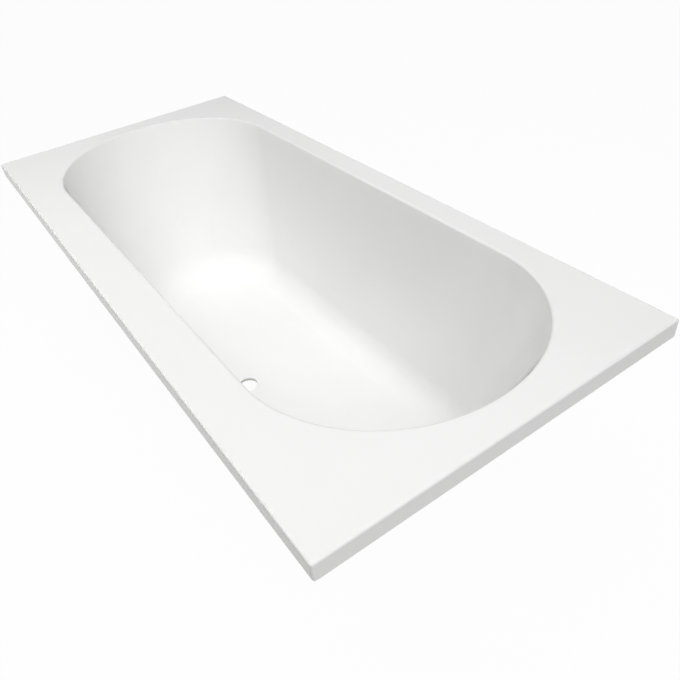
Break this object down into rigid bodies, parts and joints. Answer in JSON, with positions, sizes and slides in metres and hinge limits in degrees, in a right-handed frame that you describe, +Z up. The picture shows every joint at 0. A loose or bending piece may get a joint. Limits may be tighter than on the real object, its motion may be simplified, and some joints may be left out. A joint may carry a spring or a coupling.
{
  "type": "built-in bathtub",
  "caption": "Rectangular drop-in bath with an oval double-ended basin, flat rim with a turned-down lip, open central waste hole and levelling feet.",
  "frame": {"origin": "on the floor under the middle of the rim, feet at their middle setting", "axes": "+X along the bath, +Y across it away from the tap ledge, +Z up"},
  "size_m": [1.7, 0.75, 0.5703],
  "materials": {
    "acrylic": "high-gloss white acrylic sheet",
    "laminate": "rough sprayed glass-fibre laminate",
    "board": "raw chipboard",
    "batten": "sawn softwood",
    "galvanised_steel": "galvanised sheet with a faint spangle",
    "zinc_plate": "bright zinc plate",
    "foot_plastic": "satin moulded nylon"
  },
  "bodies": {
    "bath": {"bath_shell": "acrylic", "laminate_backing": "laminate", "base_board": "board", "batten_tap_side": "batten", "batten_wall_side": "batten", "batten_head": "batten", "batten_foot": "batten", "cradle_head": "galvanised_steel", "cradle_foot": "galvanised_steel", "cradle_screws": "zinc_plate", "captive_nuts": "zinc_plate", "lock_nuts": "zinc_plate", "lock_washers": "zinc_plate"},
    "pad_1": {"foot_pad_1": "foot_plastic"},
    "stud_1": {"foot_stud_1": "zinc_plate"},
    "pad_2": {"foot_pad_2": "foot_plastic"},
    "stud_2": {"foot_stud_2": "zinc_plate"},
    "pad_3": {"foot_pad_3": "foot_plastic"},
    "stud_3": {"foot_stud_3": "zinc_plate"},
    "pad_4": {"foot_pad_4": "foot_plastic"},
    "stud_4": {"foot_stud_4": "zinc_plate"}
  },
  "joints": [
    {"name": "foot_1_height", "type": "slide", "parent": "bath", "child": "pad_1", "axis": [0, 0, 1], "range_m": [-0.015, 0.015]},
    {"name": "foot_1_screw", "type": "hinge", "parent": "pad_1", "child": "stud_1", "pos_m": [0.37989, -0.2169, 0.0185], "axis": [0, 0, 1], "range_deg": [-3100, 3100]},
    {"name": "foot_2_height", "type": "slide", "parent": "bath", "child": "pad_2", "axis": [0, 0, 1], "range_m": [-0.015, 0.015]},
    {"name": "foot_2_screw", "type": "hinge", "parent": "pad_2", "child": "stud_2", "pos_m": [0.37989, 0.2529, 0.0185], "axis": [0, 0, 1], "range_deg": [-3100, 3100]},
    {"name": "foot_3_height", "type": "slide", "parent": "bath", "child": "pad_3", "axis": [0, 0, 1], "range_m": [-0.015, 0.015]},
    {"name": "foot_3_screw", "type": "hinge", "parent": "pad_3", "child": "stud_3", "pos_m": [-0.37989, 0.2529, 0.0185], "axis": [0, 0, 1], "range_deg": [-3100, 3100]},
    {"name": "foot_4_height", "type": "slide", "parent": "bath", "child": "pad_4", "axis": [0, 0, 1], "range_m": [-0.015, 0.015]},
    {"name": "foot_4_screw", "type": "hinge", "parent": "pad_4", "child": "stud_4", "pos_m": [-0.37989, -0.2169, 0.0185], "axis": [0, 0, 1], "range_deg": [-3100, 3100]}
  ],
  "couplings": [
    {"joint": "foot_1_screw", "follows": "foot_1_height", "rad_per_m": 3590.4},
    {"joint": "foot_2_screw", "follows": "foot_2_height", "rad_per_m": 3590.4},
    {"joint": "foot_3_screw", "follows": "foot_3_height", "rad_per_m": 3590.4},
    {"joint": "foot_4_screw", "follows": "foot_4_height", "rad_per_m": 3590.4}
  ]
}
